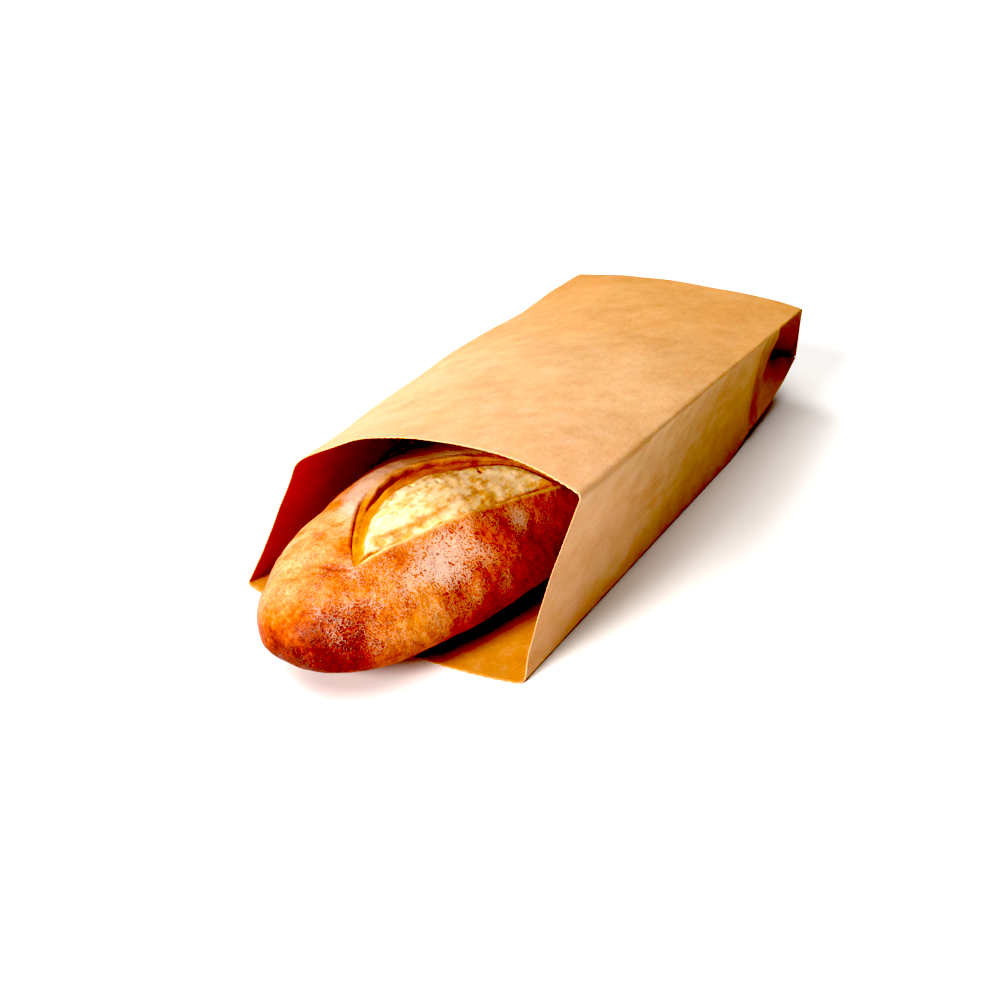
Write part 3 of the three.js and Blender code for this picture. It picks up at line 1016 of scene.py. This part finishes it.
    def section_points(self, share: Array) -> Array:
        """The bag's outer face as a grid of rings, anticlockwise as seen from the mouth.

        Each side of a section runs straight between its corners. The top adds a parabola, the bottom pushes
        its front edge out by a parabola, and the two sides fold in by a bow that sharpens into a V.

        Args:
            share: Shares of the bag's length, one a section.

        Returns:
            Points with shape (sections, ring, 3).
        """
        upper, lower = self.edge_paths()
        top, foot = self.along_path(upper, share), self.along_path(lower, share)
        rise = top - foot
        height = np.linalg.norm(rise, axis=-1)
        up = rise / height[:, None]
        half = self.width / 2
        at_mouth = self.mouth_left[1] / self.mouth_right[2]
        left_share = self.blend(share, at_mouth, self.ridge_left[1] / self.ridge_right[2], 1.0)
        foot_left = self.blend(share, self.mouth_foot[0], half, half)
        foot_right = self.blend(share, self.mouth_foot[1], half, half)
        top_right = self.blend(share, self.mouth_right[0], self.ridge_right[0], half)
        top_left = self.blend(share, self.mouth_left[0], self.ridge_left[0], -half)
        top_left = top_left - self.left_belly * np.sin(np.pi * np.clip(share / self.ridge_share(), 0.0, 1.0))
        corner_x = (-foot_left, foot_right, top_right, top_left)
        corner_s = (0.0 * height, 0.0 * height, height, height * left_share)
        crease = self.crease_height(share, foot, up)
        stretches = []
        for number, count in enumerate(self.sides):
            t = (np.arange(count) / count)[None, :]
            after = (number + 1) % 4
            (x0, s0), (x1, s1) = (corner_x[number], corner_s[number]), (corner_x[after], corner_s[after])
            x = x0[:, None] + (x1 - x0)[:, None] * t
            s = s0[:, None] + (s1 - s0)[:, None] * t
            if number == 1:
                s, depth = self.side_fold(share, s1, crease, self.bow_right, t)
                x = x0[:, None] + (x1 - x0)[:, None] * s / s1[:, None] - depth
            elif number == 2:
                arch = self.blend(share, self.mouth_arch, self.ridge_arch, 0.0)
                s = s + arch[:, None] * 4.0 * t * (1.0 - t)
            elif number == 3:
                s, depth = self.side_fold(share, s0, crease * left_share, 0.0, 1.0 - t)
                x = x1[:, None] + (x0 - x1)[:, None] * s / s0[:, None] + depth
            fade = np.clip(1.0 - share * 7.0, 0.0, 1.0)[:, None] ** 2
            lip = self.corner_step * np.exp(-s / 4.0) * fade
            if number == 0:
                lip = lip + (self.lip - self.corner_step) * (1.0 - np.abs(2.0 * t - 1.0) ** 3.2) * fade
            y = foot[:, :1] + up[:, :1] * s - lip
            z = foot[:, 1:] + up[:, 1:] * s
            stretches.append(np.stack([x, y, z], axis=-1))
        return np.concatenate(stretches, axis=1)

    def crease_height(self, share: Array, foot: Array, up: Array) -> Array:
        """How high above the foot each section meets the crease from the pleats' top to the seam's end.

        Args:
            share: Shares of the bag's length, one a section.
            foot: Each section's foot, as (y, z).
            up: The unit direction from each foot to its top.

        Returns:
            The height, as one number a section.
        """
        upper, _ = self.edge_paths()
        start = self.along_path(upper, np.array([self.pleat_at]))[0]
        run = np.array(self.seam) - start
        to_start = start - foot
        along = to_start[:, 1] * up[:, 0] - to_start[:, 0] * up[:, 1]
        along = along / (run[0] * up[:, 1] - run[1] * up[:, 0])
        meeting = to_start + along[:, None] * run
        return np.maximum((meeting * up).sum(-1), 0.3)

    def corner_weight(self, share: Array) -> Array:
        """How much each point of each ring is rounded off: most at the drooping top left of the mouth."""
        starts = np.cumsum((0,) + self.sides)
        ring = np.arange(starts[-1])
        weight = np.zeros((len(share), len(ring)))
        droop = hump(0.0, 0.12, share)
        folded = smoothstep(self.pleat_at - 0.004, self.pleat_at + 0.012, share)
        plain = 0.24 - 0.18 * folded
        reaches, weights = (0.8, 0.8, 0.8, 2.6), (plain, plain, plain, plain + 0.55 * droop)
        for start, reach, most in zip(starts[:4], reaches, weights):
            gap = np.abs(ring - start)
            gap = np.minimum(gap, len(ring) - gap)
            weight = np.maximum(weight, most[:, None] * np.exp(-((gap[None, :] / reach) ** 2)))
        return weight

    def outer_face(self) -> tuple[Array, Array]:
        """The outer face of the bag with its creases, pleats and slack.

        Returns:
            The grid of points, and the share of the length of each section.
        """
        share = self.shares()
        points = self.section_points(share)
        points = soften(points, self.corner_weight(share), 6)
        normals = tube_normals(points)
        bottom, right, top, left = (np.arange(count) / count for count in self.sides)
        level = np.concatenate([0.0 * bottom, right, 0.0 * top, 1.0 - left])
        on_side = np.repeat([0.0, 1.0, 0.0, 0.3], self.sides)
        window = on_side * smoothstep(0.03, 0.12, level) * smoothstep(0.985, 0.90, level)
        pleats = np.zeros(points.shape[:2])
        first = self.pleat_starts[0]
        for start in self.pleat_starts:
            line = self.pleat_at - first - (start - first) * smoothstep(0.35, 1.0, level)[None, :]
            pleats = pleats + self.pleat_height * hump(line, 0.0036, share[:, None]) * window
            pleats = pleats - 0.4 * hump(line - 0.012, 0.007, share[:, None]) * window
        folded = smoothstep(self.pleat_at - 0.02, self.pleat_at, share)[:, None] * (on_side > 0.0)
        free = smoothstep(2.0, 16.0, points[..., 2]) * smoothstep(0.97, 0.86, share)[:, None] * (1.0 - folded)
        points = points + normals * (uneven(points, *self.slack) * free + pleats)[..., None]
        points[..., 2] = np.maximum(points[..., 2], 0.0)
        points[0, ::2, 1] -= self.tooth
        points[0, 1::2, 1] += self.tooth
        return points, share

    def build(self, bench: Workbench, outer: Material, inner: Material) -> bpy.types.Object:
        """Makes the bag's tube: the outer face, the inner face one paper inside it, and the rims.

        Args:
            bench: Places the piece in the frame.
            outer: The finish of the outer face.
            inner: The finish of the inner face, darker and redder as painted shade.

        Returns:
            The tube's object.
        """
        face, share = self.outer_face()
        rows, ring = face.shape[:2]
        back = face - tube_normals(face) * self.paper
        points = np.concatenate([face.reshape(-1, 3), back.reshape(-1, 3)])
        count = rows * ring
        first, last = np.arange(ring), np.arange(ring) + (rows - 1) * ring
        skins = [tube_quads(rows, ring), tube_quads(rows, ring, count, inside_out=True)]
        rims = [ring_band(first, first + count), ring_band(last + count, last)]
        faces = np.concatenate([*skins, *rims])
        slots = np.repeat([0, 1, 0, 0], [len(part) for part in (*skins, *rims)])
        # painted shade: 0 at the mouth, rising to 1 towards the rear end
        rear_shade = np.tile(np.repeat(smoothstep(0.05, 0.95, share), ring), 2)
        return bench.piece("kraft_bag_tube", points, [faces], [outer, inner], slots, {REAR_SHADE: rear_shade})

    def build_strip(self, bench: Workbench, outer: Material) -> bpy.types.Object:
        """Makes the glued strip: every layer of the rear end, turned up and pressed against it.

        The strip's middle line goes round the fold in half a turn and then up along the rear face. The strip
        is that line swept across the bag, half its thickness to each side, with both ends closed.

        Args:
            bench: Places the piece in the frame.
            outer: The paper's outer finish.

        Returns:
            The strip's object.
        """
        thickness, offset = self.strip_thickness, 0.55
        lean = math.atan2(self.seam[0] - self.ridge_right[1], self.ridge_right[2] - self.seam[1])
        turn = np.linspace(-0.5 * np.pi, 0.0, 8)[:-1]
        fold = np.stack([offset * np.cos(turn), offset * np.sin(turn)], axis=-1)
        climb = np.linspace(0.0, self.strip_rise, 26)
        path = np.concatenate([fold, np.stack([np.full(len(climb), offset), climb], axis=-1)])
        y = self.seam[0] + path[:, 0] * math.cos(lean) - path[:, 1] * math.sin(lean)
        z = self.seam[1] + path[:, 0] * math.sin(lean) + path[:, 1] * math.cos(lean)
        half_width = self.width / 2 - self.strip_margin
        across = np.linspace(-half_width, half_width, 141)
        middle = np.stack(np.broadcast_arrays(across[None, :], y[:, None], z[:, None]), axis=-1)
        wave = uneven(middle, self.strip_wave) * smoothstep(2.0, 12.0, path[:, 1])[:, None]
        outward = np.gradient(np.stack([y, z], axis=-1), axis=0)
        outward = np.stack([outward[:, 1], -outward[:, 0]], axis=-1)
        outward /= np.linalg.norm(outward, axis=-1, keepdims=True)
        normal = np.stack([np.zeros(len(y)), outward[:, 0], outward[:, 1]], axis=-1)[:, None, :]
        middle = middle + normal * wave[..., None]
        middle[-1, ::2, 2] -= self.tooth
        middle[-1, 1::2, 2] += self.tooth
        back = (middle - normal * thickness / 2)[::-1]
        loop = np.concatenate([middle + normal * thickness / 2, back], axis=0)
        profile, columns = loop.shape[:2]
        grid = np.swapaxes(loop, 0, 1)
        points = grid.reshape(-1, 3)
        quads = tube_quads(columns, profile)
        half = profile // 2
        i = np.arange(half - 1)
        near = np.stack([i, i + 1, profile - 2 - i, profile - 1 - i], axis=-1)
        far = near[:, ::-1] + (columns - 1) * profile
        # the glued strip takes the full painted shade of the rear end
        faces, layers = np.concatenate([quads, near, far]), {REAR_SHADE: np.ones(len(points))}
        return bench.piece("kraft_bag_glued_strip", points, [faces], [outer], layers=layers)


# ---------------------------------------------------------------- the studio


@dataclass(frozen=True)
class Lamp:
    """One broad, even lamp so far away that it lights the whole floor alike."""

    name: str
    azimuth: float  # where it stands, in degrees from straight in front towards the right
    elevation: float  # how high it stands, in degrees
    strength: float
    spread: float  # how wide it looks from the object, in degrees

    def build(self, scene: bpy.types.Scene) -> None:
        """Hangs the lamp in the scene."""
        lamp = bpy.data.lights.new(self.name, "SUN")
        lamp.energy = self.strength
        lamp.angle = math.radians(self.spread)
        holder = bpy.data.objects.new(self.name, lamp)
        holder.rotation_mode = "QUATERNION"
        holder.rotation_quaternion = (-direction(self.azimuth, self.elevation)).to_track_quat("-Z", "Y")
        holder.location = direction(self.azimuth, self.elevation)
        scene.collection.objects.link(holder)


def direction(azimuth: float, elevation: float) -> Vector:
    """The unit vector towards a place at that azimuth and elevation, in degrees."""
    turn, tilt = math.radians(azimuth), math.radians(elevation)
    return Vector((math.sin(turn) * math.cos(tilt), -math.cos(turn) * math.cos(tilt), math.sin(tilt)))


@dataclass
class Studio:
    """A pale floor, broad lamps and the camera."""

    azimuth: float = 30.85
    elevation: float = 29.1
    distance: float = 532.6
    aim: Triple = (29.8, 49.6, 48.9)
    lens: float = 44.53
    lamps: tuple[Lamp, ...] = (
        Lamp("key_softbox", -11.0, 26.5, 5.3, 18.0),
        Lamp("left_softbox", -98.0, 46.0, 2.1, 40.0),
        Lamp("overhead_softbox", 14.0, 68.0, 2.2, 36.0),
        Lamp("right_softbox", 84.0, 20.0, 0.14, 40.0),
    )
    floor_reach: float = 40000.0
    dome_reach: float = 7000.0
    wall_light: float = 0.08
    black_level: float = 0.145

    def build(self, bench: Workbench) -> None:
        """Makes the camera, the floor, the lamps and the pale surroundings.

        Args:
            bench: Places everything in the frame.
        """
        scene = bpy.context.scene
        back = direction(self.azimuth, self.elevation)
        camera = bpy.data.objects.new("camera", bpy.data.cameras.new("camera"))
        camera.data.lens = self.lens
        camera.data.clip_start = 0.01
        camera.location = bench.origin + Vector(self.aim) * MM + back * self.distance * MM
        camera.rotation_mode = "QUATERNION"
        camera.rotation_quaternion = (-back).to_track_quat("-Z", "Y")
        scene.collection.objects.link(camera)
        scene.camera = camera
        for lamp in self.lamps:
            lamp.build(scene)
        self.floor(bench)
        self.backdrop(bench)
        self.surroundings(scene)

    def floor(self, bench: Workbench) -> None:
        """A wide pale floor under the bag."""
        corners = np.array([[-1, -1, 0], [1, -1, 0], [1, 1, 0], [-1, 1, 0]]) * self.floor_reach
        material, tree = new_material("matt_white_paint")
        paint = {"Base Color": linear("#F2F0EE"), "Roughness": 0.9}
        shader = add_node(tree, "ShaderNodeBsdfPrincipled", paint)
        add_node(tree, "ShaderNodeOutputMaterial", {"Surface": shader.outputs[0]})
        bench.piece("floor", corners, [np.array([[0, 1, 2, 3]])], [material])

    def backdrop(self, bench: Workbench) -> None:
        """A white dome far outside the bag, which closes the view above the floor; light goes through it."""
        turn = np.radians(np.arange(0.0, 360.0, 7.5))
        tilt = np.radians([-1.0, 15.0, 30.0, 45.0, 60.0, 75.0, 89.0])[:, None]
        level = np.sin(tilt) + 0.0 * turn
        dome = np.stack([np.cos(tilt) * np.cos(turn), np.cos(tilt) * np.sin(turn), level], axis=-1)
        dome = dome * self.dome_reach
        material, tree = new_material("lit_white_cloth")
        cloth = add_node(tree, "ShaderNodeEmission", {"Strength": 1.2})
        add_node(tree, "ShaderNodeOutputMaterial", {"Surface": cloth.outputs[0]})
        material.cycles.emission_sampling = "NONE"
        quads = tube_quads(*dome.shape[:2], inside_out=True)
        cloth_dome = bench.piece("backdrop", dome.reshape(-1, 3), [quads], [material])
        cloth_dome.visible_diffuse = False
        cloth_dome.visible_glossy = False
        cloth_dome.visible_shadow = False

    def surroundings(self, scene: bpy.types.Scene) -> None:
        """Even white light from all round, and tones with a deeper black than plain ones."""
        world = bpy.data.worlds.new("studio_walls")
        world.use_nodes = True
        sky = world.node_tree.nodes["Background"]
        sky.inputs["Color"].default_value = linear("#FFF5E8")
        sky.inputs["Strength"].default_value = self.wall_light
        scene.world = world
        view = scene.view_settings
        view.view_transform = "Standard"
        view.use_curve_mapping = True
        view.curve_mapping.black_level = (self.black_level,) * 3
        view.curve_mapping.white_level = (1.0 + self.black_level,) * 3
        view.curve_mapping.update()


def main() -> None:
    """Builds the loaf, the bag and the studio, and reports each piece."""
    logging.basicConfig(level=logging.INFO, format="%(name)s: %(message)s")
    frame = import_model()
    body = next(iter(frame["bodies"]))
    loaf, bag = Loaf(), PaperBag()
    bag_low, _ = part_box("paper_bag")
    origin = Vector((bag_low.x - bag.ridge_left[0] * MM, bag_low.y + bag.lip * MM, bag_low.z))
    bench = Workbench(origin)

    crusty = loaf.build(bench, BakedCrust())
    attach(crusty, body)
    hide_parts("loaf")

    outer = KraftPaper(PaperSide.OUTER).make()
    inner = KraftPaper(PaperSide.INNER).make()
    tube = bag.build(bench, outer, inner)
    strip = bag.build_strip(bench, outer)
    for paper in (tube, strip):
        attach(paper, body)
    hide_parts("paper_bag")

    Studio().build(bench)


if __name__ == "__main__":
    main()
